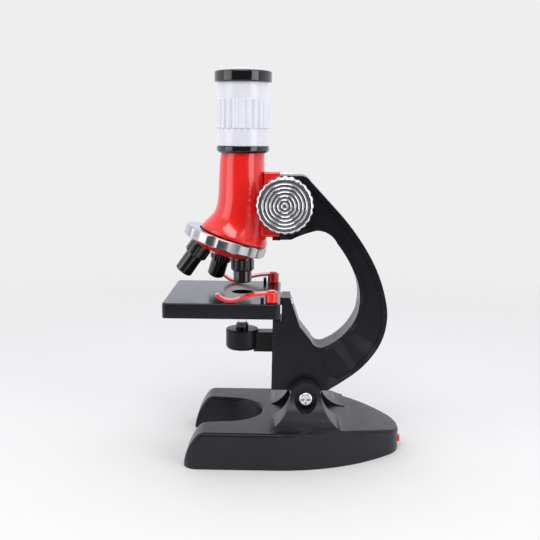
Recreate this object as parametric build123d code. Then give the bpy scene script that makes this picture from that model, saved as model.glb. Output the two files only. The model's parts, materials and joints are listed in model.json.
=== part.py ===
"""Toy compound microscope: battery-lit, red tube on a tilting black C-arm.

Frame: millimetres, +Z up, origin on the floor under the middle of the whole object.
The stage and the open fork of the base point to -X, the back of the arm to +X.
"""
from build123d import *
import os
from math import cos, pi, radians, sin

# ---- optical axis and heights -------------------------------------------------------
AXIS_X = -25.9            # eyepiece, tube, light hole and lamp share this vertical axis
TUBE_TOP = 171.9          # top of the red tube, where the eyepiece drops in
RING_TOP = 217.0          # top of the black eyepiece ring
STAGE_TOP = 92.0

# ---- base ---------------------------------------------------------------------------
TOE_X = -56.6             # front of the two toes at the floor
BROW_X = -47.4            # where the toe fronts turn into the level top
REAR_X = 66.7             # rear of the base
BASE_HALF = 41.7          # half the width over the toes
BASE_TOP = 20.8
WALL = 2.3                # moulded wall of the base and of the arm halves
FORK_X = -14.0            # bottom of the fork between the toes

# ---- tilt pivot ---------------------------------------------------------------------
PIVOT_X, PIVOT_Z = 11.4, 33.7
EAR_R = 9.3
EAR_FOOT = 24.4           # the feet of an ear lie this far fore and aft of the pivot
EAR_INNER = 10.2          # inner face of each ear
EAR_ROOT = 18.6           # the ears grow out of the roof of the base
EAR_SPOT = 17.5           # seat of the bolt head and the nut
EAR_SPOT_R = 6.4
BOLT_R = 2.5
RUN = 0.05                # radial clearance of a running fit

# ---- arm ----------------------------------------------------------------------------
ARM_HALF = 9.7            # half the thickness of the arm
LUG_R = 9.4
BLOCK_FRONT = -8.0
BLOCK_TOP = 77.0
HEAD_FRONT = -4.5
HEAD_TOP = 159.8

# ---- stage --------------------------------------------------------------------------
STAGE_X0, STAGE_X1 = -67.9, -3.7
STAGE_HALF = 35.7
STAGE_SKIRT = 8.3
LIGHT_HOLE_R = 6.15
CLIP_X, CLIP_Y = -8.4, 30.5
CLIP_HUB_R = 3.4
CLIP_PIN_R = 1.5

# ---- focus drive --------------------------------------------------------------------
KNOB_X, KNOB_Z = -1.9, 144.6
KNOB_R = 15.6
KNOB_FACE_Y = 28.8
KNOB_THICK = 11.6
SHAFT_R = 2.4
MODULE = 0.8
PINION_TEETH = 12
PITCH_R = MODULE * PINION_TEETH / 2
RACK_X = KNOB_X - PITCH_R           # pitch line of the rack
SLIDE_X0, SLIDE_X1 = -13.6, -4.7
SLIDE_HALF = 7.0
SLIDE_Z0, SLIDE_Z1 = 124.9, 161.6

# ---- turret: everything is measured down its inclined axis from the apex ------------
APEX = (AXIS_X, 0, 153.0)
TURRET_TILT = 17.5
DOME_R = 41.5             # the dome is a part of a sphere about the apex
DOME_EDGE_R = 21.3
RING_R = 24.0
RING_S0, RING_S1 = 29.2, 35.2
FLANGE_R = 19.6
FLANGE_S = 28.7           # underside of the tube's flange
FLANGE_SHIFT = 3.9        # the flange sits this far behind the turret axis
RING_BORE_R = 16.6        # inner edge of the ring's top flange
RING_WEB = 0.9            # thickness of that flange
AXLE_R = 2.0
OBJECTIVES = {"short": (0, 55.1), "medium": (90, 59.3), "long": (180, 60.4)}

# ---- eyepiece -----------------------------------------------------------------------
DRAW_R = 11.0             # sliding tube of the eyepiece
BARREL_R = 14.5
EYE_RING_R = 16.15
RIB_Z0, RIB_Z1 = 185.4, 201.7
RIB_COUNT = 24

# ---- lamp ---------------------------------------------------------------------------
LAMP_R = 9.5
LAMP_Z0, LAMP_Z1 = 58.4, 70.3

# ---- switch -------------------------------------------------------------------------
SWITCH_Z = 5.3
SWITCH_X = REAR_X - WALL - 1.2      # mouth of the switch housing
SWITCH_Y = -2.0           # the slider rests in the off position

# ---- batteries: two AA cells lying across the base ----------------------------------
CELL_R, CELL_LENGTH = 7.1, 49.2
CELL_XS = (4.2, 19.4)
CELL_Z = 9.8
FLOOR_Z0, FLOOR_Z1 = 0.4, 2.4


def box(x0, x1, y0, y1, z0, z1):
    """A box given by its limits."""
    middle = Pos((x0 + x1) / 2, (y0 + y1) / 2, (z0 + z1) / 2)
    return middle * Box(x1 - x0, y1 - y0, z1 - z0)


def cyl_z(r, z0, z1, x=0.0, y=0.0):
    return Pos(x, y, (z0 + z1) / 2) * Cylinder(r, z1 - z0)


def cyl_y(r, y0, y1, x, z):
    return Pos(x, (y0 + y1) / 2, z) * Rot(90, 0, 0) * Cylinder(r, y1 - y0)


def cyl_x(r, x0, x1, y, z):
    return Pos((x0 + x1) / 2, y, z) * Rot(0, 90, 0) * Cylinder(r, x1 - x0)


def slab_y(face, y0, y1):
    """Extrude a face drawn in X and Z between two Y planes."""
    return Pos(0, y1, 0) * extrude(Plane.XZ * face, y1 - y0, dir=(0, -1, 0))


def slab_z(face, z0, z1):
    """Extrude a face drawn in X and Y between two Z planes."""
    return Pos(0, 0, z0) * extrude(face, z1 - z0, dir=(0, 0, 1))


def both_sides(shape):
    """The shape and its mirror image across the middle plane Y = 0."""
    return [shape, mirror(shape, Plane.XZ)]


def arc_chain(start, direction, *points):
    """Arcs through the points, each tangent to the one before."""
    edges = []
    for point in points:
        arc = TangentArc(start, point, tangent=direction)
        edges.append(arc)
        start, direction = point, arc % 1
    return edges


def group(shapes):
    return Part() + list(shapes)


def save(node, shape):
    export_step(shape, f"parts/{node}.step")


# ==== base ===========================================================================

def base_plan():
    """Horseshoe outline: two toes in front, one round heel at the back."""
    toe_inner, toe_outer, corner = 23.5, 33.7, 8.0
    bend = corner * sin(radians(45))
    centre = (TOE_X + corner, toe_outer)
    fork = arc_chain((FORK_X, 0), (0, 1), (-18.8, 12.8), (-33.0, 19.9))
    heel = arc_chain((-5, BASE_HALF), (1, 0), (42.5, 28.9), (60.5, 15.6), (REAR_X, 0))
    edges = [
        *fork,
        Line((-33.0, 19.9), (TOE_X, toe_inner)),
        Line((TOE_X, toe_inner), (TOE_X, toe_outer)),
        ThreePointArc((TOE_X, toe_outer), (centre[0] - bend, centre[1] + bend),
                      (centre[0], BASE_HALF)),
        Line((centre[0], BASE_HALF), (-5, BASE_HALF)),
        *heel,
        Line((REAR_X, 0), (FORK_X, 0)),
    ]
    half = make_face(edges)
    return half + mirror(half, Plane.XZ)


def base_profile(top):
    """Side view: leaning round toe front, level top, heel falling to the rear."""
    drop = BASE_TOP - top
    brow = (BROW_X + drop, top)
    return make_face([
        ThreePointArc((TOE_X, 0), (-54.0 + drop * 0.2, 10.5), brow),
        Line(brow, (24, top)),
        ThreePointArc((24, top), (47, top - 2.9), (REAR_X, 12.6 - drop)),
        Line((REAR_X, 12.6 - drop), (REAR_X, 0)),
        Line((REAR_X, 0), (TOE_X, 0)),
    ])


def base_block(plan, top):
    return slab_z(plan, 0, BASE_TOP + 1) & slab_y(base_profile(top), -BASE_HALF - 1, BASE_HALF + 1)


def ear_side(side):
    """Half outline of an ear about the pivot, fore (-1) or aft (1), down to its foot."""
    lean = radians(20)
    shoulder = (side * EAR_R * cos(lean), EAR_R * sin(lean))
    foot = (side * EAR_FOOT, BASE_TOP - 0.6 - PIVOT_Z)
    root = (foot[0], EAR_ROOT - PIVOT_Z)
    waist = (side * 13.4, -8.6)
    crest = (side * EAR_R * sin(lean), EAR_R * cos(lean))
    return make_face([
        ThreePointArc((0, EAR_R), crest, shoulder),
        ThreePointArc(shoulder, waist, foot),
        Line(foot, root),
        Line(root, (0, root[1])),
        Line((0, root[1]), (0, EAR_R)),
    ])


def ear():
    """Far-side ear: a round-topped upright whose outer face sweeps out to the rim."""
    side = Pos(PIVOT_X, PIVOT_Z) * (ear_side(-1) + ear_side(1))
    z_top = PIVOT_Z + EAR_R + 1
    face_y = EAR_SPOT + 0.9
    rim = (BASE_HALF - 0.6, BASE_TOP - 0.5)
    cove = make_face([
        Line((EAR_INNER, EAR_ROOT), (EAR_INNER, z_top)),
        Line((EAR_INNER, z_top), (face_y, z_top)),
        ThreePointArc((face_y, z_top), (24.6, 28.7), rim),
        Line(rim, (rim[0], EAR_ROOT)),
        Line((rim[0], EAR_ROOT), (EAR_INNER, EAR_ROOT)),
    ])
    start = Pos(PIVOT_X - EAR_FOOT, 0, 0)
    across = start * extrude(Plane.YZ * cove, 2 * EAR_FOOT, dir=(1, 0, 0))
    upright = slab_y(side, EAR_INNER, BASE_HALF) & across
    upright -= cyl_y(EAR_SPOT_R, EAR_SPOT, BASE_HALF, PIVOT_X, PIVOT_Z)
    return upright - cyl_y(BOLT_R + RUN, 0, BASE_HALF, PIVOT_X, PIVOT_Z)


# x, y and the height to which each boss runs up under the roof
BASE_SCREWS = [(-38, 31, 19.5), (-38, -31, 19.5), (45, 19, 16.8), (45, -19, 16.8)]
DOOR = (-6.0, 29.5, -31.0, 31.0)


def base_shell(plan):
    outer = base_block(plan, BASE_TOP)
    brow_r, rim_r = 6.0, 1.8
    brows = [edge for edge in outer.edges().filter_by_position(Axis.X, BROW_X - 0.1, BROW_X + 0.1)
             if edge.length > 2 * brow_r]
    outer = fillet(brows, brow_r)
    outer = fillet(outer.edges().filter_by_position(Axis.Z, 12.2, BASE_TOP + 0.1), rim_r)
    inner_plan = offset(plan, -WALL)
    shell = outer - base_block(inner_plan, BASE_TOP - WALL)
    for shape in both_sides(ear() & slab_z(plan, 0, 60)):
        shell += shape
    for x, y, top in BASE_SCREWS:
        shell += cyl_z(3.4, FLOOR_Z1, top, x, y)
        shell -= cyl_z(1.1, 0, 12.0, x, y)
    return shell - box(60, 70, -5.0, 5.0, SWITCH_Z - 2.0, SWITCH_Z + 2.0)


def floor_opening(gap):
    x0, x1, y0, y1 = DOOR
    return box(x0 - gap, x1 + gap, y0 - gap, y1 + gap, FLOOR_Z0 - 1, FLOOR_Z1 + 1)


def base_bottom_plate(plan):
    plate = slab_z(offset(plan, -WALL - 0.1), FLOOR_Z0, FLOOR_Z1)
    plate -= floor_opening(0.0)
    for x, y, _ in BASE_SCREWS:
        plate -= cyl_z(1.55, 0, 3, x, y)
        plate -= cyl_z(3.0, 0, FLOOR_Z0 + 1.0, x, y)
    plate += box(DOOR[1], DOOR[1] + 7.0, -5, 5, FLOOR_Z1 - 0.5, FLOOR_Z1 + 3.5)
    plate -= box(DOOR[1] - 1, DOOR[1] + 6.2, -4.7, 4.7, 0, FLOOR_Z0 + 1.05)
    return plate - cyl_z(1.0, 0, 5.5, DOOR[1] + 3.5, 0)


def battery_door():
    x0, x1, y0, y1 = DOOR
    gap = 0.15
    lid = box(x0 + gap, x1 - gap, y0 + gap, y1 - gap, FLOOR_Z0, FLOOR_Z1)
    lid += box(x1 - 3, x1 + 6.0, -4.5, 4.5, FLOOR_Z0, FLOOR_Z0 + 1.0)
    for y in (-6, -2, 2, 6):
        lid += box(x0 + 4, x0 + 12, y, y + 1.2, FLOOR_Z0 - 0.3, FLOOR_Z0)
    lid -= cyl_z(1.05, -1, 3, x1 + 3.5, 0)
    return lid - cyl_z(2.5, -1, FLOOR_Z0 + 0.6, x1 + 3.5, 0)


def pan_screw(head_r, head_h, shank_r, length, cross=0.6):
    """Cross-head screw, head up, its seat at Z = 0 and the shank below."""
    head = cyl_z(head_r, 0, head_h)
    head = fillet(head.edges().sort_by(Axis.Z)[-1], head_h * 0.45)
    for turn in (0, 90):
        head -= Rot(0, 0, turn) * box(-head_r * 0.62, head_r * 0.62, -cross, cross,
                                      head_h * 0.45, head_h + 1)
    shank = chamfer(cyl_z(shank_r, -length, 0).edges().sort_by(Axis.Z)[0], shank_r * 0.5)
    return head + shank


def base_screws():
    screw = Rot(180, 0, 0) * pan_screw(2.7, 1.0, 1.1, 9.5, 0.4)
    return group(Pos(x, y, FLOOR_Z0 + 1.0) * screw for x, y, _ in BASE_SCREWS)


def battery_door_screw():
    screw = Rot(180, 0, 0) * pan_screw(2.4, 0.6, 1.0, 4.2, 0.4)
    return Pos(DOOR[1] + 3.5, 0, FLOOR_Z0 + 0.6) * screw


def battery_cell(x, end):
    """AA cell across the base; end is the side of its raised cap."""
    can = fillet(cyl_z(CELL_R, -CELL_LENGTH / 2, CELL_LENGTH / 2).edges(), 0.8)
    cap = cyl_z(2.7, CELL_LENGTH / 2, CELL_LENGTH / 2 + 1.2)
    return Pos(x, 0, CELL_Z) * Rot(-90 * end, 0, 0) * (can + cap)


def battery_springs():
    """One coil on the flat end of each cell."""
    coil_r, wire_r, height, turns = 3.4, 0.4, 3.0, 3
    path = Helix(height / turns, height, coil_r)
    start = Plane(origin=path @ 0, z_dir=path % 0)
    coil = sweep(start * Circle(wire_r), path=path, is_frenet=True)
    springs = []
    for x, end in zip(CELL_XS, (1, -1)):
        lift = Pos(x, -end * (CELL_LENGTH / 2 + 0.5), CELL_Z)
        springs.append(lift * Rot(90 * end, 0, 0) * coil)
    return group(springs)


def battery_contacts():
    """Sprung-brass plates: one pair at one end, a linking strip at the other."""
    y = CELL_LENGTH / 2 + 4.0
    plates = [box(x - 5, x + 5, y, y + 0.5, 3.0, 15.5) for x in CELL_XS]
    link = box(CELL_XS[0] - 5, CELL_XS[1] + 5, -y - 0.5, -y, 3.0, 15.5)
    return group(plates + [link])


def battery_holder():
    """Cradle moulded as a tray: two end walls and a rib between the cells."""
    y = CELL_LENGTH / 2 + 5.2
    x0, x1 = CELL_XS[0] - 8.2, CELL_XS[1] + 8.2
    middle = sum(CELL_XS) / 2
    ends = [box(x0, x1, side * y - 0.6, side * y + 0.6, FLOOR_Z1 + 0.1, 18.0) for side in (-1, 1)]
    sides = [box(x - 0.5, x + 0.5, -y, y, FLOOR_Z1 + 0.1, 12.0) for x in (x0, x1)]
    rib = box(middle - 0.3, middle + 0.3, -20, 20, FLOOR_Z1 + 0.1, 6.0)
    return group(ends + sides + [rib])


def switch_housing():
    shell = box(SWITCH_X - 7.2, SWITCH_X, -6.5, 6.5, SWITCH_Z - 2.8, SWITCH_Z + 3.4)
    return shell - box(SWITCH_X - 5.5, SWITCH_X + 1, -5.75, 5.75, SWITCH_Z - 1.9, SWITCH_Z + 1.9)


def switch_slider():
    half, rise = 3.6, 1.8
    shoe = box(SWITCH_X - 5.3, SWITCH_X - 0.1, SWITCH_Y - half, SWITCH_Y + half,
               SWITCH_Z - rise, SWITCH_Z + rise)
    tab = box(SWITCH_X - 1, REAR_X + 1.2, SWITCH_Y - 2, SWITCH_Y + 2,
              SWITCH_Z - 1.7, SWITCH_Z + 1.7)
    tab = fillet(tab.edges().filter_by(Axis.Z).sort_by(Axis.X)[-2:], 0.5)
    return shoe + tab


def pivot_bolt():
    bolt = pan_screw(4.1, 2.7, BOLT_R, EAR_SPOT * 2 + 4.5, 0.55)
    return Pos(PIVOT_X, -EAR_SPOT, PIVOT_Z) * Rot(90, 0, 0) * bolt


def pivot_nut():
    nut = extrude(RegularPolygon(4.6, 6), 3.6) - cyl_z(BOLT_R, -1, 5)
    return Pos(PIVOT_X, EAR_SPOT, PIVOT_Z) * Rot(-90, 0, 0) * nut


def pivot_washers():
    ring = (cyl_y(7.0, ARM_HALF + 0.08, EAR_INNER, PIVOT_X, PIVOT_Z)
            - cyl_y(BOLT_R + RUN, 0, 12, PIVOT_X, PIVOT_Z))
    return group(both_sides(ring))


# ==== arm ============================================================================

POST_REAR = [(1.7, 90.6), (3.6, 85.2), (7.7, 73.6)]


def arm_outline():
    """C-shaped arm with the head above, and the block and post below."""
    tail = (24.2, 36.0)
    shoulder = (29, 139.0)
    back = arc_chain(shoulder, (0.68, -0.73),
                     (46.5, 115.3), (56.8, 87.3), (51, 59), (37, 44.5), tail)
    return make_face([
        Line((HEAD_FRONT, HEAD_TOP), (7.6, HEAD_TOP)),
        ThreePointArc((7.6, HEAD_TOP), (10.3, 158.9), (12.4, 156.8)),
        Line((12.4, 156.8), shoulder),
        *back,
        Line(tail, (BLOCK_FRONT - 0.4, 36.0)),
        Line((BLOCK_FRONT - 0.4, 36.0), (BLOCK_FRONT, BLOCK_TOP)),
        Line((BLOCK_FRONT, BLOCK_TOP), (-2.9, BLOCK_TOP)),
        Line((-2.9, BLOCK_TOP), (-2.9, POST_REAR[0][1])),
        Line((-2.9, POST_REAR[0][1]), POST_REAR[0]),
        Line(POST_REAR[0], POST_REAR[1]),
        Line(POST_REAR[1], POST_REAR[2]),
        Line(POST_REAR[2], (14.1, 65.6)),
        ThreePointArc((14.1, 65.6), (17.6, 62.0), (22.4, 62.4)),
        ThreePointArc((22.4, 62.4), (33.2, 70.0), (40.2, 81.0)),
        ThreePointArc((40.2, 81.0), (41.5, 91.5), (38.9, 103.5)),
        ThreePointArc((38.9, 103.5), (34.6, 112.2), (28.0, 122.0)),
        ThreePointArc((28.0, 122.0), (22.8, 127.6), (16.2, 129.2)),
        ThreePointArc((16.2, 129.2), (9.7, 127.3), (2.0, 124.0)),
        Line((2.0, 124.0), (HEAD_FRONT, 123.8)),
        Line((HEAD_FRONT, 123.8), (HEAD_FRONT, HEAD_TOP)),
    ])


ARM_SCREWS = [(8.5, 137.5), (47.5, 92.0), (33.5, 54.0), (0.5, 45.0)]
LAMP_ARM = (-19.0, -4.0, -4.5, 4.5, 57.4, 69.0)


def lamp_bracket(grow=0.0):
    x0, x1, y0, y1, z0, z1 = LAMP_ARM
    return box(x0, x1, y0 - grow, y1 + grow, z0 - grow, z1 + grow)


def arm_side_panel(outline):
    """Shallow long panel sunk into the side face, following the C down to a round end."""
    inset = offset(outline, -2.7)
    upper = Pos(44, 145) * Rectangle(72, 62)
    middle = Pos(49, 88) * Rectangle(62, 52)
    lower = Pos(55.5, 42) * Rectangle(50, 44)
    end = Pos(30.5, 53.0) * Circle(9.5)
    return inset & (upper + middle + lower + end)


def side_box(x0, x1, side, y0, y1, z0, z1):
    """A box on one side of the middle plane, y0 and y1 counted outward from it."""
    return box(x0, x1, min(side * y0, side * y1), max(side * y0, side * y1), z0, z1)


def side_cyl(r, side, y0, y1, x, z):
    """A cylinder along Y on one side of the middle plane."""
    return cyl_y(r, min(side * y0, side * y1), max(side * y0, side * y1), x, z)


def focus_rail(side):
    """Half of the T-shaped rail, standing in front of the head, that guides the tube."""
    inner, outer, flange, foot = 3.4, 5.1, 5.9, 6.4
    front, back = -8.7, HEAD_FRONT + 0.2
    z0, z1 = SLIDE_Z0, HEAD_TOP - 1.0
    rail = side_box(front, back, side, inner, outer, z0 - 0.7, z1)
    rail += side_box(front, front + 1.2, side, inner, flange, z0, z1)
    return rail + side_box(front, back, side, 0, foot, z0 - 1.8, z0 - 0.6)


def arm_shell(outline, side):
    """One half of the arm: a tray with screw bosses, meeting its twin at Y = 0."""
    lug = Pos(PIVOT_X, PIVOT_Z) * Circle(LUG_R)
    shell = slab_y(outline + lug, *sorted((0, side * ARM_HALF)))
    shell -= slab_y(offset(outline, -WALL), *sorted((side * -0.01, side * (ARM_HALF - WALL))))
    panel_depth = 0.7
    panel_y = sorted((side * (ARM_HALF - panel_depth), side * (ARM_HALF + 1)))
    shell -= slab_y(arm_side_panel(outline), *panel_y)
    for x, z in ARM_SCREWS:
        shell += side_cyl(3.2, side, 0, 8, x, z)
    shell += side_cyl(5.2, side, 0, ARM_HALF, PIVOT_X, PIVOT_Z)
    shell += side_cyl(6.6, side, 7, KNOB_FACE_Y - KNOB_THICK - 0.8, KNOB_X, KNOB_Z)
    shell += focus_rail(side)
    shell -= cyl_y(BOLT_R + RUN, -12, 12, PIVOT_X, PIVOT_Z)
    shell -= cyl_y(SHAFT_R + RUN, -20, 20, KNOB_X, KNOB_Z)
    shell -= box(-12, 4.2, -3.3, 3.3, KNOB_Z - 6.4, KNOB_Z + 6.4)
    shell -= lamp_bracket()
    for y in STAGE_SCREW_YS:
        shell -= cyl_x(1.2, -4, 8, y, STAGE_SCREW_Z)
        shell -= cyl_x(2.25, STAGE_SCREW_SEAT, 8, y, STAGE_SCREW_Z)
    for x, z in ARM_SCREWS:
        if side > 0:
            shell -= cyl_y(1.6, -1, 12, x, z)
            shell -= cyl_y(3.0, ARM_HALF - 2.0, 12, x, z)
        else:
            shell -= cyl_y(1.1, -6.5, 1, x, z)
    return shell


def arm_screws():
    screw = Rot(-90, 0, 0) * pan_screw(2.7, 1.2, 1.1, 13.0, 0.4)
    return group(Pos(x, ARM_HALF - 2.0, z) * screw for x, z in ARM_SCREWS)


# ==== stage ==========================================================================

STAGE_SCREW_YS = (-4.6, 4.6)
STAGE_SCREW_Z = 86.5
STAGE_SCREW_SEAT = 2.2


def stage_plate():
    z0 = STAGE_TOP - STAGE_SKIRT
    plate = box(STAGE_X0, STAGE_X1, -STAGE_HALF, STAGE_HALF, z0, STAGE_TOP)
    plate = fillet(plate.edges().filter_by(Axis.Z), 2.6)
    plate = fillet(plate.faces().sort_by(Axis.Z)[-1].edges(), 0.9)
    wall = 2.4
    plate -= box(STAGE_X0 + wall, STAGE_X1 - wall, -STAGE_HALF + wall, STAGE_HALF - wall,
                 z0 - 1, STAGE_TOP - 2.6)
    plate += box(-14.5, STAGE_X1, -8.5, 8.5, BLOCK_TOP + 6.4, STAGE_TOP - 2)
    plate += box(BLOCK_FRONT + 0.6, STAGE_X1, -8.5, 8.5, BLOCK_TOP, z0 + 1)
    plate += box(STAGE_X1 - 1, -2.9, -7.5, 7.5, z0 + 2.2, STAGE_TOP - 1.5)
    plate += cyl_z(LIGHT_HOLE_R + 2.0, z0 + 1.0, STAGE_TOP - 1, AXIS_X)
    plate -= cyl_z(LIGHT_HOLE_R, z0 - 1, STAGE_TOP + 1, AXIS_X)
    plate -= box(-17.0, -7.2, 5.0, 6.3, STAGE_TOP - 1.6, STAGE_TOP + 1)
    for y in STAGE_SCREW_YS:
        plate -= cyl_x(1.1, -13, 0, y, STAGE_SCREW_Z)
    for side in (-1, 1):
        y = side * CLIP_Y
        plate += box(-14.4, -12.6, y - 2.6, y + 2.6, STAGE_TOP - 0.5, STAGE_TOP + 3.2)
        plate += cyl_z(3.0, z0 + 1.5, STAGE_TOP - 1, CLIP_X, y)
        plate -= cyl_z(CLIP_PIN_R, z0 - 1, STAGE_TOP + 1, CLIP_X, y)
    return plate


def stage_screws():
    screw = Rot(0, 90, 0) * pan_screw(2.1, 1.2, 1.1, 13.5, 0.4)
    return group(Pos(STAGE_SCREW_SEAT, y, STAGE_SCREW_Z) * screw for y in STAGE_SCREW_YS)


def clip_posts():
    """Snap pin through each clip hub into the stage."""
    pin = cyl_z(CLIP_PIN_R, STAGE_TOP - 5.5, 98.4) + cyl_z(2.1, 98.2, 98.8)
    return group(Pos(CLIP_X, side * CLIP_Y, 0) * pin for side in (-1, 1))


def stage_clip(side):
    """Springy wave-shaped finger on a round hub."""
    hub = fillet(cyl_z(CLIP_HUB_R, STAGE_TOP + 0.2, 98.1).edges(), 0.4)
    thickness, half_width = 1.2, 3.2
    wave = Spline((0, 97.1), (-6.6, 97.0), (-14.5, 95.3), (-23.6, 93.1), (-27.2, 94.2), (-30.2, 96.6))
    finger = slab_y(trace(wave, thickness), -half_width, half_width)
    clip = hub + finger - cyl_z(CLIP_PIN_R + RUN, 85, 105)
    return Pos(CLIP_X, side * CLIP_Y, 0) * clip


# ==== lamp ===========================================================================

def lamp_housing():
    drum = cyl_z(LAMP_R, LAMP_Z0, LAMP_Z1, AXIS_X)
    drum = fillet(drum.edges().sort_by(Axis.Z)[0], 2.2)
    drum = fillet(drum.edges().sort_by(Axis.Z)[-1], 0.6)
    drum += lamp_bracket()
    drum -= cyl_z(LAMP_R - 2.0, LAMP_Z0 + 2.0, LAMP_Z1 - 1.8, AXIS_X)
    drum -= box(AXIS_X, -1, -1.6, 1.6, LAMP_Z0 + 3.0, LAMP_Z0 + 6.0)
    return drum - cyl_z(2.6, LAMP_Z0 + 2.0, LAMP_Z1 + 1, AXIS_X)


def lamp_socket():
    collar = cyl_z(3.7, LAMP_Z1, LAMP_Z1 + 3.0, AXIS_X) + cyl_z(2.6, LAMP_Z1 - 5.0, LAMP_Z1, AXIS_X)
    return collar - cyl_z(2.0, LAMP_Z1 - 6.0, LAMP_Z1 + 4.0, AXIS_X)


def led_bulb():
    """5 mm lamp: a domed clear body on a flange, with its base down in the socket."""
    z0 = LAMP_Z1 + 3.0
    body = cyl_z(2.9, z0, z0 + 1.0, AXIS_X) + cyl_z(2.5, z0 + 1.0, z0 + 4.0, AXIS_X)
    dome = Pos(AXIS_X, 0, z0 + 4.0) * Sphere(2.5)
    return body + dome + cyl_z(2.0, LAMP_Z1 - 2.0, z0, AXIS_X)


def lead(points, radii):
    path = FilletPolyline(*points, radius=radii)
    return sweep(Plane(origin=path @ 0, z_dir=path % 0) * Circle(0.6), path=path)


def lamp_leads():
    """Twin wires from the pivot up inside the block to the foot of the lamp."""
    wires = []
    for y in (-0.8, 0.8):
        z = LAMP_Z0 + 4.5
        route = [(AXIS_X + 3.5, y, z), (-2.5, y, z), (0.8, y, 54.0)]
        wires.append(lead(route, [3.0]))
    return group(wires)


def base_leads():
    """Twin wires from the battery contacts back to the switch."""
    wires = []
    for side in (-1, 1):
        switch_end = (SWITCH_X - 7.8, side * 2.5, SWITCH_Z)
        wires.append(lead([(31.0, side * 24.0, 8.0), (42.0, side * 11.0, 8.0), switch_end], [6.0]))
    return group(wires)


# ==== focus drive ====================================================================

def focus_shaft():
    y = KNOB_FACE_Y - 2.0
    return chamfer(cyl_y(SHAFT_R, -y, y, KNOB_X, KNOB_Z).edges(), 0.4)


def pinion_gear():
    root, tip = PITCH_R - 1.0, PITCH_R + 0.6
    tooth = make_face(Polyline((0, -0.9), (root, -0.84), (PITCH_R, -0.52), (tip, -0.26),
                               (tip, 0.26), (PITCH_R, 0.52), (root, 0.84), (0, 0.9), close=True))
    gear = Sketch() + Circle(root)
    for i in range(PINION_TEETH):
        gear += Rot(0, 0, (i + 0.5) * 360 / PINION_TEETH) * tooth
    body = slab_y(gear, -3.0, 3.0) - cyl_y(SHAFT_R, -8, 8, 0, 0)
    return Pos(KNOB_X, 0, KNOB_Z) * body


def focus_slide(tube_form):
    """Red block on the back of the tube, with the T-slot and the rack inside."""
    slide = box(SLIDE_X0, SLIDE_X1, -SLIDE_HALF, SLIDE_HALF, SLIDE_Z0, SLIDE_Z1)
    slide = fillet(slide.edges().filter_by(Axis.X), 1.2)
    slide -= tube_form
    slide -= box(-9.0, SLIDE_X1 + 1, -5.2, 5.2, SLIDE_Z0 - 1, SLIDE_Z1 - 1.2)
    slide -= box(-9.0, -7.35, -6.0, 6.0, SLIDE_Z0 - 1, SLIDE_Z1 - 1.2)
    pitch = pi * MODULE
    tooth = make_face(Polyline((-9.1, -0.95), (RACK_X - 1.0, -0.86), (RACK_X + 0.75, -0.26),
                               (RACK_X + 0.75, 0.26), (RACK_X - 1.0, 0.86), (-9.1, 0.95), close=True))
    slide += box(-9.1, RACK_X - 1.0, -3.1, 3.1, KNOB_Z - 6.5 * pitch, KNOB_Z + 2.5 * pitch)
    for i in range(-6, 3):
        slide += slab_y(Pos(0, KNOB_Z + i * pitch) * tooth, -3.1, 3.1)
    for z in SLIDE_SCREW_ZS:
        slide -= cyl_x(1.2, -20, 0, 0, z)
        slide -= cyl_x(2.3, -10.4, 0, 0, z)
    return slide


SLIDE_SCREW_ZS = (126.4, 156.0)


def slide_screws(tube_hole_only=False):
    if tube_hole_only:
        return group(cyl_x(1.1, -17.0, -8, 0, z) for z in SLIDE_SCREW_ZS)
    screw = Rot(0, 90, 0) * pan_screw(2.0, 1.1, 1.1, 3.4, 0.35)
    return group(Pos(-10.4, 0, z) * screw for z in SLIDE_SCREW_ZS)


def focus_knob(side):
    """Chrome-look hand wheel: scalloped rim, ringed face, hub on the shaft."""
    y_out, y_in = KNOB_FACE_Y, KNOB_FACE_Y - KNOB_THICK
    scallops, groove_pitch = 24, 2.1
    wheel = Cylinder(KNOB_R, KNOB_THICK)
    wheel = chamfer(wheel.edges(), 0.9)
    notch = Cylinder(1.9, KNOB_THICK + 2)
    wheel -= [Rot(0, 0, i * 360 / scallops) * Pos(KNOB_R + 1.3, 0) * notch for i in range(scallops)]
    top = KNOB_THICK / 2
    wheel -= Pos(0, 0, top) * (Cylinder(13.9, 0.8) - Cylinder(13.3, 0.8))
    for i in range(1, 7):
        wheel -= Pos(0, 0, top) * Torus(groove_pitch * i - 0.6, 0.62)
    wheel -= Pos(0, 0, -top) * (Cylinder(12.6, 8.0) - Cylinder(5.0, 8.0))
    wheel = Pos(KNOB_X, -(y_out + y_in) / 2, KNOB_Z) * Rot(90, 0, 0) * wheel
    wheel -= cyl_y(SHAFT_R, -y_out + 2.0, 0, KNOB_X, KNOB_Z)
    return wheel if side < 0 else mirror(wheel, Plane.XZ)


# ==== tube ===========================================================================

def tilted(point, tilt):
    """Plane at a point whose normal leans back from vertical by tilt degrees."""
    a = radians(tilt)
    return Plane(origin=point, x_dir=(cos(a), 0, -sin(a)), z_dir=(sin(a), 0, cos(a)))


def on_turret_axis(distance, across=0.0):
    a = radians(TURRET_TILT)
    x = APEX[0] - distance * sin(a) + across * cos(a)
    return (x, 0, APEX[2] - distance * cos(a) - across * sin(a))


def tube_form(wall=0.0):
    """Round tube that flares forward into the inclined flange."""
    flare = tilted(on_turret_axis(FLANGE_S - 1.6, FLANGE_SHIFT), TURRET_TILT)
    sections = [
        Pos(AXIS_X, 0, TUBE_TOP) * Circle(12.4 - wall),
        Pos(AXIS_X - 0.3, 0, 156) * Circle(13.4 - wall),
        Pos(AXIS_X - 0.5, 0, 143) * Circle(14.3 - wall),
        tilted((-27.3, 0, 136.2), 9) * Circle(15.3 - wall),
        flare * Circle(FLANGE_R - wall),
    ]
    return loft(sections)


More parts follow.
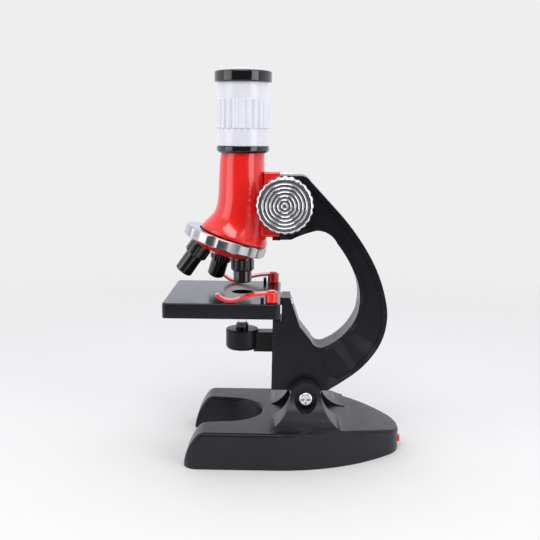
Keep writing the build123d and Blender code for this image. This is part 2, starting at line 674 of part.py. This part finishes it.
def body_tube(form):
    flange_top = on_turret_axis(FLANGE_S, FLANGE_SHIFT)
    rim = tilted(flange_top, TURRET_TILT) * extrude(Circle(FLANGE_R), 1.65)
    tube = form + rim
    tube -= cyl_z(DRAW_R + RUN, 146, TUBE_TOP + 1, AXIS_X)
    hollow = [
        Pos(AXIS_X, 0, 146.5) * Circle(DRAW_R + RUN),
        tilted((-27.3, 0, 137.0), 9) * Circle(12.6),
        tilted(on_turret_axis(FLANGE_S - 4.0, FLANGE_SHIFT), TURRET_TILT) * Circle(14.5),
    ]
    tube -= loft(hollow)
    tube -= tilted(on_turret_axis(FLANGE_S), TURRET_TILT) * Cylinder(AXLE_R, 12)
    tube -= cyl_z(5.0, 110, 140, AXIS_X)
    return tube - slide_screws(tube_hole_only=True)


# ==== turret =========================================================================

def on_turret(shape):
    """Place a shape drawn about the apex, with the turret axis as its -Z."""
    return tilted(APEX, TURRET_TILT) * shape


def toward(angle, shape):
    """Swing a shape drawn down -Z to one objective seat of the turret."""
    return on_turret(Rot(0, 0, angle) * Rot(0, -TURRET_TILT, 0) * shape)


def turret_ring():
    scallops = 12
    ring = cyl_z(RING_R, -RING_S1, -RING_S0)
    ring = chamfer(ring.edges(), 0.7)
    notch = Cylinder(16.0, 20)
    ring -= [Rot(0, 0, (i + 0.5) * 360 / scallops) * Pos(RING_R + 15.35, 0, -RING_S0) * notch
             for i in range(scallops)]
    ring -= cyl_z(DOME_EDGE_R, -RING_S1 - 1, -RING_S0 - RING_WEB)
    return on_turret(ring - cyl_z(RING_BORE_R, -RING_S1 - 1, -RING_S0 + 1))


def turret_dome():
    wall = 2.2
    outer = Sphere(DOME_R) & cyl_z(DOME_EDGE_R, -DOME_R - 1, -RING_S0 - RING_WEB)
    inner = Sphere(DOME_R - wall) & cyl_z(DOME_EDGE_R - wall, -DOME_R - 1, -RING_S0 + 1)
    dome = outer - inner
    dome += cyl_z(4.4, -DOME_R + 1.2, -RING_S0 - RING_WEB)
    dome -= cyl_z(AXLE_R + RUN, -DOME_R - 1, -20)
    dome -= cyl_z(3.6, -DOME_R - 1, -DOME_R + 1.4)
    dome = on_turret(dome)
    for angle, _ in OBJECTIVES.values():
        dome -= toward(angle, cyl_z(4.2, -DOME_R - 3, -DOME_R + 6))
    return dome


def turret_axle():
    """Headed pin screwed up into the tube; the turret turns on it."""
    head = cyl_z(3.2, -DOME_R + 0.1, -DOME_R + 1.3)
    return on_turret(head + cyl_z(AXLE_R, -DOME_R + 1.2, -FLANGE_S + 3.0))


def objective(name):
    """Ribbed collar and plain barrel, screwed into the dome."""
    angle, reach = OBJECTIVES[name]
    collar_end = 48.4
    barrel_r = {"short": 5.25, "medium": 5.2, "long": 5.15}[name]
    collar = cyl_z(6.3, -collar_end, -DOME_R + 0.9)
    collar = chamfer(collar.edges().sort_by(Axis.Z)[0], 0.6)
    ribs = [Rot(0, 0, i * 30) * Pos(5.9, 0, -(collar_end + DOME_R) / 2 + 0.2)
            * Cylinder(0.75, collar_end - DOME_R - 1.2) for i in range(12)]
    barrel = cyl_z(barrel_r, -reach, -collar_end + 1)
    barrel = chamfer(barrel.edges().sort_by(Axis.Z)[0], 0.8)
    body = collar + ribs + barrel + cyl_z(4.15, -DOME_R, -DOME_R + 3.5)
    body -= Sphere(DOME_R + 0.05) & (cyl_z(9, -60, -30) - cyl_z(4.15, -60, -30))
    body -= cyl_z(3.0, -reach + 1.6, -DOME_R + 4)
    return toward(angle, body - cyl_z(1.8, -reach - 1, -reach + 2))


def objective_lens(name):
    angle, reach = OBJECTIVES[name]
    ball = Pos(0, 0, -reach + 5.0) * Sphere(4.2) & cyl_z(1.75, -reach + 0.4, -reach + 2.0)
    return toward(angle, ball + cyl_z(2.9, -reach + 1.65, -reach + 2.6))


# ==== eyepiece =======================================================================

def eyepiece_bottom_ring():
    ring = cyl_z(14.9, TUBE_TOP + 0.1, 176.0, AXIS_X)
    ring = chamfer(ring.edges().sort_by(Axis.Z)[0], 1.2)
    ring = fillet(ring.edges().sort_by(Axis.Z)[-1], 0.5)
    return ring - cyl_z(DRAW_R, 170, 180, AXIS_X)


def eyepiece_barrel():
    z1 = RING_TOP - 6.3
    barrel = cyl_z(BARREL_R, 176.0, z1)
    rib = chamfer(Cylinder(2.05, RIB_Z1 - RIB_Z0).edges(), 0.4)
    ribs = [Rot(0, 0, i * 360 / RIB_COUNT) * Pos(13.3, 0, (RIB_Z0 + RIB_Z1) / 2) * rib
            for i in range(RIB_COUNT)]
    barrel += ribs
    barrel -= cyl_z(DRAW_R, 175, 190)
    barrel -= cyl_z(BARREL_R - 2.4, 189, z1 + 1)
    return Pos(AXIS_X, 0, 0) * barrel


def eyepiece_top_ring():
    ring = cyl_z(EYE_RING_R, RING_TOP - 6.3, RING_TOP, AXIS_X)
    ring = fillet(ring.edges(), 0.9)
    ring -= cyl_z(9.2, RING_TOP - 8, RING_TOP + 1, AXIS_X)
    return ring


def eyepiece_draw_tube():
    return cyl_z(DRAW_R, 151, 189, AXIS_X) - cyl_z(DRAW_R - 1.5, 150, 190, AXIS_X)


def field_lens():
    return Pos(AXIS_X, 0, 175) * Sphere(22.6) & cyl_z(DRAW_R - 1.5, 151.5, 154.4, AXIS_X)


def eye_lens_retainer():
    cap = cyl_z(9.2, RING_TOP - 6.0, RING_TOP + 1.5, AXIS_X)
    cap = fillet(cap.edges().sort_by(Axis.Z)[-1], 1.0)
    cap -= cyl_z(7.0, RING_TOP - 7, RING_TOP - 1.6, AXIS_X)
    bowl = Pos(AXIS_X, 0, RING_TOP + 1.6) * Cone(3.4, 6.0, 2.6)
    return cap - bowl - cyl_z(3.4, RING_TOP - 5, RING_TOP + 3, AXIS_X)


def eye_lens():
    z0 = RING_TOP - 5.0
    return Pos(AXIS_X, 0, z0 - 10.0) * Sphere(13.2) & cyl_z(7.0, z0, z0 + 3.4, AXIS_X)


def main():
    os.makedirs("parts", exist_ok=True)
    plan = base_plan()
    outline = arm_outline()
    form = tube_form()
    save("base_shell", base_shell(plan))
    save("base_bottom_plate", base_bottom_plate(plan))
    save("base_screws", base_screws())
    save("battery_door", battery_door())
    save("battery_door_screw", battery_door_screw())
    save("battery_holder", battery_holder())
    for number, x, end in zip((1, 2), CELL_XS, (1, -1)):
        save(f"battery_cell_{number}", battery_cell(x, end))
    save("battery_springs", battery_springs())
    save("battery_contacts", battery_contacts())
    save("base_leads", base_leads())
    save("switch_housing", switch_housing())
    save("switch_slider", switch_slider())
    save("pivot_bolt", pivot_bolt())
    save("pivot_nut", pivot_nut())
    save("pivot_washers", pivot_washers())
    for name, side in (("near", -1), ("far", 1)):
        save(f"arm_shell_{name}", arm_shell(outline, side))
        save(f"stage_clip_{name}", stage_clip(side))
        save(f"focus_knob_{name}", focus_knob(side))
    save("arm_screws", arm_screws())
    save("stage_plate", stage_plate())
    save("stage_screws", stage_screws())
    save("clip_posts", clip_posts())
    save("lamp_housing", lamp_housing())
    save("lamp_socket", lamp_socket())
    save("led_bulb", led_bulb())
    save("lamp_leads", lamp_leads())
    save("focus_shaft", focus_shaft())
    save("pinion_gear", pinion_gear())
    save("body_tube", body_tube(form))
    save("focus_slide", focus_slide(form))
    save("slide_screws", slide_screws())
    save("turret_ring", turret_ring())
    save("turret_dome", turret_dome())
    save("turret_axle", turret_axle())
    for name in OBJECTIVES:
        save(f"objective_{name}", objective(name))
        save(f"lens_{name}", objective_lens(name))
    save("eyepiece_bottom_ring", eyepiece_bottom_ring())
    save("eyepiece_barrel", eyepiece_barrel())
    save("eyepiece_top_ring", eyepiece_top_ring())
    save("eyepiece_draw_tube", eyepiece_draw_tube())
    save("field_lens", field_lens())
    save("eye_lens_retainer", eye_lens_retainer())
    save("eye_lens", eye_lens())


main()
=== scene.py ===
"""Studio scene of the toy microscope: materials, edge finish, light, floor and camera."""
import json
from math import cos, pi, radians, sin

import bpy
from mathutils import Matrix, Vector


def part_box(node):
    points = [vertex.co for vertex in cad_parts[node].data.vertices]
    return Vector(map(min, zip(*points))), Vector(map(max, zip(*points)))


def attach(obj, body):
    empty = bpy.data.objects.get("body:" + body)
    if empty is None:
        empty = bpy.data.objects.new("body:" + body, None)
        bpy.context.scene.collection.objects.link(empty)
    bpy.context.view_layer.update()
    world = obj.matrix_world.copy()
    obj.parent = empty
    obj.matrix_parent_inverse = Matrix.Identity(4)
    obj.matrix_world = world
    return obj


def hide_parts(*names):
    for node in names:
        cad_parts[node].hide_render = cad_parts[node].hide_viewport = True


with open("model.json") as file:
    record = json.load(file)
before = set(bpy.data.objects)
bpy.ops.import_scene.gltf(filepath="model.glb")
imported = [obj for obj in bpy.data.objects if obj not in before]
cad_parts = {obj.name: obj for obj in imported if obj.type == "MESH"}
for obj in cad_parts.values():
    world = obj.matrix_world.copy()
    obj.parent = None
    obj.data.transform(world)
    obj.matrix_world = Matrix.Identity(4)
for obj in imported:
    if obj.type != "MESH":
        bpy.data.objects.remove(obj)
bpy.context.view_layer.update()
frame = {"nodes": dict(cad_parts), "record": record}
nodes = frame["nodes"]
SLOT_OF = {part["node"]: part["material_slot"] for part in frame["record"]["subparts"]}

MM = 0.001


# ---- camera: eye level just over the head of the arm, close to the object ---------------
FOCAL_LENGTH = 54.67                        # mm, on a sensor SENSOR_WIDTH mm across
SENSOR_WIDTH = 36.0
EYE = (-1.97, -468.22, 183.6)               # mm, in the shared frame
YAW, PITCH_DOWN, ROLL = 0.0171, 0.1664, 0.0096          # radians
NEAR_CLIP = 0.01                            # m


def make_camera():
    data = bpy.data.cameras.new("camera")
    data.lens = FOCAL_LENGTH
    data.sensor_width = SENSOR_WIDTH
    data.clip_start = NEAR_CLIP
    camera = bpy.data.objects.new("camera", data)
    bpy.context.scene.collection.objects.link(camera)
    turn = (Matrix.Rotation(YAW, 4, "Z") @ Matrix.Rotation(pi / 2 - PITCH_DOWN, 4, "X")
            @ Matrix.Rotation(ROLL, 4, "Z"))
    camera.matrix_world = Matrix.Translation(Vector(EYE) * MM) @ turn
    bpy.context.scene.camera = camera


# ---- building blocks of the materials ----------------------------------------------------
REFRACTION = 1.5                            # the same for the plastics and the lenses
COAT_ROUGHNESS = 0.06
MOTTLE_SCALE, MOTTLE_DETAIL = 60.0, 4.0     # slow change of colour
CLOUD_SCALE, CLOUD_DETAIL = 140.0, 5.0      # change of gloss
GRAIN_DETAIL, GRAIN_STRENGTH = 2.0, 0.5
EDGE_START, EDGE_END = 0.53, 0.62           # pointiness where the painted edge highlight starts and is full
EDGE_SHARE = 0.5                            # how much of the painted edge highlight shows at most

MIX_FACTOR, MIX_A, MIX_B, MIX_RESULT = 0, 6, 7, 2       # sockets of a Mix node for colours


def node_of(tree, kind, **inputs):
    """A shader node with its input sockets set by name."""
    node = tree.nodes.new(kind)
    for name, value in inputs.items():
        node.inputs[name.replace("_", " ")].default_value = value
    return node


def noise(tree, coords, scale, detail):
    """Noise over the object's own coordinates."""
    texture = node_of(tree, "ShaderNodeTexNoise", Scale=scale, Detail=detail)
    tree.links.new(coords, texture.inputs["Vector"])
    return texture.outputs["Fac"]


def spread(tree, value, low, high, start=0.3, end=0.7):
    """Map the range from start to end onto the range from low to high."""
    node = node_of(tree, "ShaderNodeMapRange", From_Min=start, From_Max=end, To_Min=low, To_Max=high)
    tree.links.new(value, node.inputs["Value"])
    return node.outputs["Result"]


def colour_mix(tree, factor, colour):
    """A Mix node that turns to the colour as the factor rises. The caller sets its first colour."""
    node = tree.nodes.new("ShaderNodeMix")
    node.data_type = "RGBA"
    tree.links.new(factor, node.inputs[MIX_FACTOR])
    node.inputs[MIX_B].default_value = (*colour, 1.0)
    return node


def mottled(tree, coords, first, second, edge_highlight_colour):
    """Colour that wanders between two tones, and turns to a lighter third on the outer edges as a
    painted highlight.
    """
    pattern = spread(tree, noise(tree, coords, MOTTLE_SCALE, MOTTLE_DETAIL), 0.0, 1.0)
    body = colour_mix(tree, pattern, second)
    body.inputs[MIX_A].default_value = (*first, 1.0)
    if not edge_highlight_colour:
        return body.outputs[MIX_RESULT]
    # painted highlight: convex edges, found by pointiness, lighten towards the edge colour
    pointed = tree.nodes.new("ShaderNodeNewGeometry").outputs["Pointiness"]
    painted_edge_highlight = spread(tree, pointed, 0.0, EDGE_SHARE, EDGE_START, EDGE_END)
    edge = colour_mix(tree, painted_edge_highlight, edge_highlight_colour)
    tree.links.new(body.outputs[MIX_RESULT], edge.inputs[MIX_A])
    return edge.outputs[MIX_RESULT]


def surface(name, colours, rough, grain, metallic=0.0, coat=0.0, specular=0.5,
            transmission=0.0, edge_highlight_colour=None):
    """A moulded, metal or clear surface with uneven gloss and a fine grain.

    colours holds the two tones of a mottled surface, or the one of an even surface. rough is the
    least and the most roughness, and grain is its scale and its depth in mm.
    """
    material = bpy.data.materials.new(name)
    material.use_nodes = True
    tree = material.node_tree
    shader = tree.nodes["Principled BSDF"]
    shader.inputs["Metallic"].default_value = metallic
    shader.inputs["IOR"].default_value = REFRACTION
    shader.inputs["Specular IOR Level"].default_value = specular
    shader.inputs["Coat Weight"].default_value = coat
    shader.inputs["Coat Roughness"].default_value = COAT_ROUGHNESS
    shader.inputs["Transmission Weight"].default_value = transmission
    shader.inputs["Base Color"].default_value = (*colours[0], 1.0)
    coords = tree.nodes.new("ShaderNodeTexCoord").outputs["Object"]
    if len(colours) > 1:
        # an edge colour paints a highlight along the outer edges
        tree.links.new(mottled(tree, coords, *colours, edge_highlight_colour), shader.inputs["Base Color"])
    cloud = noise(tree, coords, CLOUD_SCALE, CLOUD_DETAIL)
    tree.links.new(spread(tree, cloud, *rough), shader.inputs["Roughness"])
    grain_scale, grain_depth = grain
    bump = node_of(tree, "ShaderNodeBump", Strength=GRAIN_STRENGTH, Distance=grain_depth * MM)
    tree.links.new(noise(tree, coords, grain_scale, GRAIN_DETAIL), bump.inputs["Height"])
    tree.links.new(bump.outputs["Normal"], shader.inputs["Normal"])
    return material


# ---- the materials: one for each slot, and two finishes for single pieces -----------------
LOOKS = {
    # each lighter edge colour below is a painted highlight along the outer edges
    "satin_black": dict(                    # base, arm and lamp drum
        colours=((0.0060, 0.0064, 0.0086), (0.0085, 0.0090, 0.0118)),
        rough=(0.25, 0.33), grain=(2600.0, 0.016), specular=0.2,
        edge_highlight_colour=(0.03, 0.03, 0.036)),
    "polished_black": dict(                 # stage plate
        colours=((0.0050, 0.0053, 0.0076), (0.0070, 0.0074, 0.0100)),
        rough=(0.15, 0.22), grain=(1400.0, 0.004), specular=0.3,
        edge_highlight_colour=(0.02, 0.02, 0.025)),
    "gloss_black": dict(                    # objectives, eyepiece rings and lamp socket
        colours=((0.0035, 0.0036, 0.0046), (0.0055, 0.0056, 0.0068)),
        rough=(0.09, 0.15), grain=(900.0, 0.003), coat=0.35),
    "gloss_red": dict(                      # tube, slide block, turret dome, clips, switch
        colours=((0.70, 0.010, 0.007), (0.76, 0.015, 0.011)),
        rough=(0.16, 0.24), grain=(700.0, 0.006), coat=0.35,
        edge_highlight_colour=(0.84, 0.06, 0.045)),
    "gloss_white": dict(                    # eyepiece
        colours=((0.66, 0.66, 0.72), (0.70, 0.70, 0.76)),
        rough=(0.16, 0.24), grain=(700.0, 0.004), coat=0.1),
    "chrome_plate": dict(                   # focus knobs
        colours=((0.62, 0.62, 0.64), (0.72, 0.72, 0.73)),
        rough=(0.13, 0.22), grain=(500.0, 0.006), metallic=1.0),
    "worn_chrome": dict(                    # turret ring
        colours=((0.38, 0.38, 0.40), (0.60, 0.60, 0.61)),
        rough=(0.16, 0.30), grain=(420.0, 0.010), metallic=1.0),
    "zinc_steel": dict(                     # screws, bolt, shaft and springs
        colours=((0.66, 0.66, 0.68), (0.76, 0.76, 0.76)),
        rough=(0.14, 0.28), grain=(900.0, 0.01), metallic=1.0),
    "contact_brass": dict(                  # battery contacts
        colours=((0.62, 0.44, 0.16), (0.70, 0.52, 0.22)),
        rough=(0.22, 0.4), grain=(600.0, 0.01), metallic=1.0),
    "cell_wrap": dict(                      # AA cells
        colours=((0.03, 0.10, 0.24), (0.035, 0.12, 0.28)),
        rough=(0.2, 0.3), grain=(500.0, 0.005), coat=0.2),
    "white_nylon": dict(                    # pinion and washers
        colours=((0.72, 0.72, 0.68), (0.78, 0.78, 0.74)),
        rough=(0.4, 0.55), grain=(1500.0, 0.02)),
    "wire_sleeve": dict(                    # leads
        colours=((0.35, 0.02, 0.02), (0.42, 0.03, 0.03)),
        rough=(0.35, 0.5), grain=(1500.0, 0.01)),
    "clear_lens": dict(                     # lenses and lamp
        colours=((0.95, 0.97, 1.0),),
        rough=(0.01, 0.05), grain=(900.0, 0.002), transmission=1.0),
}
FINISH_OF = {                               # nodes that differ a little from their slot
    "stage_plate": "polished_black",
    "turret_ring": "worn_chrome",
}


# ---- edge finish of the CAD pieces --------------------------------------------------------
EDGE_RADIUS = {                             # mm, by slot
    "satin_black": 0.45,
    "gloss_red": 0.3,
    "gloss_white": 0.3,
    "gloss_black": 0.25,
    "chrome_plate": 0.18,
}
SMALL_EDGE_RADIUS = 0.12                    # mm, in every other slot
EDGE_STEPS = 3
SHARP_ANGLE = radians(38)                   # an edge that turns by more is rounded
WELD_DISTANCE = 0.001                       # mm
LARGE_FACE_WEIGHT = 60


def cover(piece, finish):
    """Put the finish on the whole piece, and leave the CAD mesh's own material alone."""
    for holder in piece.material_slots:
        holder.link = "OBJECT"
        holder.material = finish
    if not piece.material_slots:
        piece.data.materials.append(finish)


def soften_edges(piece, radius):
    """Give the hard edges a small moulded radius and smooth shading."""
    weld = piece.modifiers.new("weld", "WELD")
    weld.merge_threshold = WELD_DISTANCE * MM
    bevel = piece.modifiers.new("edge radius", "BEVEL")
    bevel.width = radius * MM
    bevel.segments = EDGE_STEPS
    bevel.limit_method = "ANGLE"
    bevel.angle_limit = SHARP_ANGLE
    bevel.use_clamp_overlap = True
    bevel.harden_normals = False
    for face in piece.data.polygons:
        face.use_smooth = True
    normals = piece.modifiers.new("even shading", "WEIGHTED_NORMAL")
    normals.keep_sharp = True
    normals.weight = LARGE_FACE_WEIGHT


def finish_cad_nodes():
    made = {name: surface(name, **look) for name, look in LOOKS.items()}
    for name, piece in nodes.items():
        slot = SLOT_OF[name]
        cover(piece, made[FINISH_OF.get(name, slot)])
        soften_edges(piece, EDGE_RADIUS.get(slot, SMALL_EDGE_RADIUS))


# ---- focus knobs, finer than the CAD mesh, in mm --------------------------------------------
SCALLOPS = 24
SCALLOP_DEPTH = 0.5
SCALLOP_STEPS = 12                          # points round each scallop
SCALLOP_SHARPNESS = 1.5                     # over 1 widens the lands between the scallops
GROOVE_RADII = [1.5, 3.6, 5.7, 7.8, 9.9, 12.0]
GROOVE_HALF = 0.8
GROOVE_DEPTH = 0.62
GROOVE_FULLNESS = 0.8                       # under 1 makes the floor of a groove broader
GROOVE_STEPS = 6                            # points on each side of its middle
RING_R, RING_WALL, RING_DEPTH = 13.2, 0.1, 0.45         # shallow ring round the grooves
FACE_R = 13.9                               # where the face starts to roll over to the rim
FACE_DROP = 0.05
ROLL_DEPTH = 1.5
ROLL_STEPS = 8
BACK_CHAMFER = 0.9
BACK_SCALLOP = 0.6                          # share of the scallop's depth left at the chamfer
CAVITY_R, CAVITY_DEPTH = 12.6, 4.0
HUB_R = 5.0
SHAFT_R, SHAFT_DEPTH = 2.4, 9.8
RIM_SHARP_ANGLE = radians(40)


def knob_profile(rim_r, thick):
    """Rows from the middle of the face to the shaft hole behind it.

    Each row is a radius, a depth below the face, and how far the scallops cut into it.
    """
    rows = []
    for centre in GROOVE_RADII:
        for i in range(-GROOVE_STEPS, GROOVE_STEPS + 1):
            across = i / GROOVE_STEPS
            depth = GROOVE_DEPTH * cos(across * pi / 2) ** GROOVE_FULLNESS
            rows.append((centre + across * GROOVE_HALF, depth, 0.0))
    rows += [(RING_R, 0.0, 0.0), (RING_R + RING_WALL, RING_DEPTH, 0.0),
             (FACE_R - RING_WALL, RING_DEPTH, 0.0), (FACE_R, FACE_DROP, 0.0)]
    for i in range(1, ROLL_STEPS + 1):
        turn = i / ROLL_STEPS * pi / 2
        radius = FACE_R + (rim_r - FACE_R) * sin(turn)
        rows.append((radius, ROLL_DEPTH * (1 - cos(turn)), sin(turn)))
    floor = thick - CAVITY_DEPTH
    rows += [(rim_r, thick - BACK_CHAMFER, 1.0), (rim_r - BACK_CHAMFER, thick, BACK_SCALLOP),
             (CAVITY_R, thick, 0.0), (CAVITY_R, floor, 0.0), (HUB_R, floor, 0.0),
             (HUB_R, thick, 0.0), (SHAFT_R, thick, 0.0), (SHAFT_R, thick - SHAFT_DEPTH, 0.0)]
    return rows


def turned_mesh(name, rows, middle, outward):
    """Solid turned about Y from its rows. Its face looks along +Y or -Y, as outward is 1 or -1."""
    steps = SCALLOPS * SCALLOP_STEPS
    vertices = [tuple(middle)]
    for radius, depth, cut in rows:
        for i in range(steps):
            angle = 2 * pi * i / steps
            wave = (0.5 - 0.5 * cos(SCALLOPS * angle)) ** SCALLOP_SHARPNESS
            r = radius - SCALLOP_DEPTH * cut * wave
            vertices.append((middle.x + r * cos(angle), middle.y - outward * depth,
                             middle.z + r * sin(angle)))
    faces = [(0, 1 + i, 1 + (i + 1) % steps) for i in range(steps)]
    for row in range(len(rows) - 1):
        start = 1 + row * steps
        for i in range(steps):
            j = (i + 1) % steps
            faces.append((start + i, start + steps + i, start + steps + j, start + j))
    end = 1 + (len(rows) - 1) * steps
    faces.append(tuple(end + i for i in reversed(range(steps))))
    if outward > 0:
        faces = [face[::-1] for face in faces]
    mesh = bpy.data.meshes.new(name)
    mesh.from_pydata([tuple(Vector(v) * MM) for v in vertices], [], faces)
    return mesh


def make_knob(node):
    """Hand wheel turned from its profile, with smooth scallops all round the rim."""
    low, high = (Vector(corner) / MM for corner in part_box(node))
    outward = -1 if low.y < 0 else 1
    face_y = low.y if outward < 0 else high.y
    middle = Vector(((low.x + high.x) / 2, face_y, (low.z + high.z) / 2))
    rows = knob_profile((high.z - low.z) / 2, high.y - low.y)
    mesh = turned_mesh(f"wheel_{node}", rows, middle, outward)
    for face in mesh.polygons:
        face.use_smooth = True
    mesh.set_sharp_from_angle(angle=RIM_SHARP_ANGLE)
    wheel = bpy.data.objects.new(f"wheel_{node}", mesh)
    bpy.context.scene.collection.objects.link(wheel)
    mesh.materials.append(bpy.data.materials["chrome_plate"])
    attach(wheel, "knob")
    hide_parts(node)


# ---- floor -----------------------------------------------------------------------------------
FLOOR_RADIUS = 0.70                         # m
FLOOR_SOLID = 0.22                          # m, where it starts to fade
FLOOR_MARGIN = 0.02                         # m, quite faded this far inside the rim
FLOOR_SIDES = 96


def make_floor():
    """Round of pale paper under the object that fades out into the backdrop."""
    angles = [2 * pi * i / FLOOR_SIDES for i in range(FLOOR_SIDES)]
    rim = [(FLOOR_RADIUS * cos(angle), FLOOR_RADIUS * sin(angle), 0.0) for angle in angles]
    mesh = bpy.data.meshes.new("floor")
    mesh.from_pydata(rim, [], [tuple(range(FLOOR_SIDES))])
    floor = bpy.data.objects.new("floor", mesh)
    bpy.context.scene.collection.objects.link(floor)
    paper = surface("paper", colours=((0.665, 0.660, 0.640), (0.675, 0.670, 0.650)),
                    rough=(0.7, 0.8), grain=(300.0, 0.02))
    tree = paper.node_tree
    coords = tree.nodes.new("ShaderNodeTexCoord").outputs["Object"]
    reach = tree.nodes.new("ShaderNodeVectorMath")
    reach.operation = "LENGTH"
    tree.links.new(coords, reach.inputs[0])
    fade = spread(tree, reach.outputs["Value"], 1.0, 0.0, FLOOR_SOLID, FLOOR_RADIUS - FLOOR_MARGIN)
    fade.node.interpolation_type = "SMOOTHSTEP"
    tree.links.new(fade, tree.nodes["Principled BSDF"].inputs["Alpha"])
    mesh.materials.append(paper)


# ---- light -------------------------------------------------------------------------------------
BACKDROP = 0.855                            # brightness of the seamless paper in the picture
PAPER_LIGHT = 1.08                          # light from the paper beside and behind the object
FRONT_LIGHT = 0.10                          # light from the unlit studio at the camera's end
FRONT_END, PAPER_START = -0.80, -0.05       # Y of the directions between which it changes
LIGHT_COLOUR = (0.96, 0.975, 1.05, 1.0)
WHITE = (1.0, 1.0, 1.0, 1.0)
AIM = (0, 0, 0.11)                          # m, the middle of the object
SOFT_BOXES = {                              # place in m, width and height in m, power in W
    "left box": ((-0.88, -0.46, 0.32), (0.62, 0.95), 3.5),
    "right box": ((0.76, -0.64, 0.32), (0.52, 0.95), 4.8),
    "overhead": ((0.0, 0.10, 1.1), (1.0, 0.6), 1.6),
    "front key": ((-0.10, -0.78, 1.05), (0.9, 0.4), 7.0),
}


def soft_box(name, place, size, power):
    """A soft light that shows in reflections and never in the picture itself."""
    data = bpy.data.lights.new(name, "AREA")
    data.shape = "RECTANGLE"
    data.size, data.size_y = size
    data.energy = power
    light = bpy.data.objects.new(name, data)
    light.location = place
    light.rotation_euler = (Vector(AIM) - Vector(place)).to_track_quat("-Z", "Y").to_euler()
    light.visible_camera = False
    bpy.context.scene.collection.objects.link(light)


def make_world():
    """Bright paper all round but for a dark studio at the camera's end. The camera sees only paper."""
    world = bpy.data.worlds.new("studio")
    world.use_nodes = True
    tree = world.node_tree
    lit = tree.nodes["Background"]
    lit.inputs["Color"].default_value = LIGHT_COLOUR
    direction = tree.nodes.new("ShaderNodeTexCoord").outputs["Generated"]
    axes = tree.nodes.new("ShaderNodeSeparateXYZ")
    tree.links.new(direction, axes.inputs["Vector"])
    strength = spread(tree, axes.outputs["Y"], FRONT_LIGHT, PAPER_LIGHT, FRONT_END, PAPER_START)
    tree.links.new(strength, lit.inputs["Strength"])
    paper = node_of(tree, "ShaderNodeBackground", Color=WHITE, Strength=BACKDROP)
    seen = tree.nodes.new("ShaderNodeLightPath").outputs["Is Camera Ray"]
    choice = tree.nodes.new("ShaderNodeMixShader")
    tree.links.new(seen, choice.inputs[0])
    tree.links.new(lit.outputs[0], choice.inputs[1])
    tree.links.new(paper.outputs[0], choice.inputs[2])
    tree.links.new(choice.outputs[0], tree.nodes["World Output"].inputs["Surface"])
    bpy.context.scene.world = world


def make_lights():
    make_world()
    for name, (place, size, power) in SOFT_BOXES.items():
        soft_box(name, place, size, power)
    bpy.context.scene.view_settings.view_transform = "Standard"
    bpy.context.scene.view_settings.look = "None"


make_camera()
make_floor()
make_lights()
finish_cad_nodes()
for knob in ("focus_knob_near", "focus_knob_far"):
    make_knob(knob)
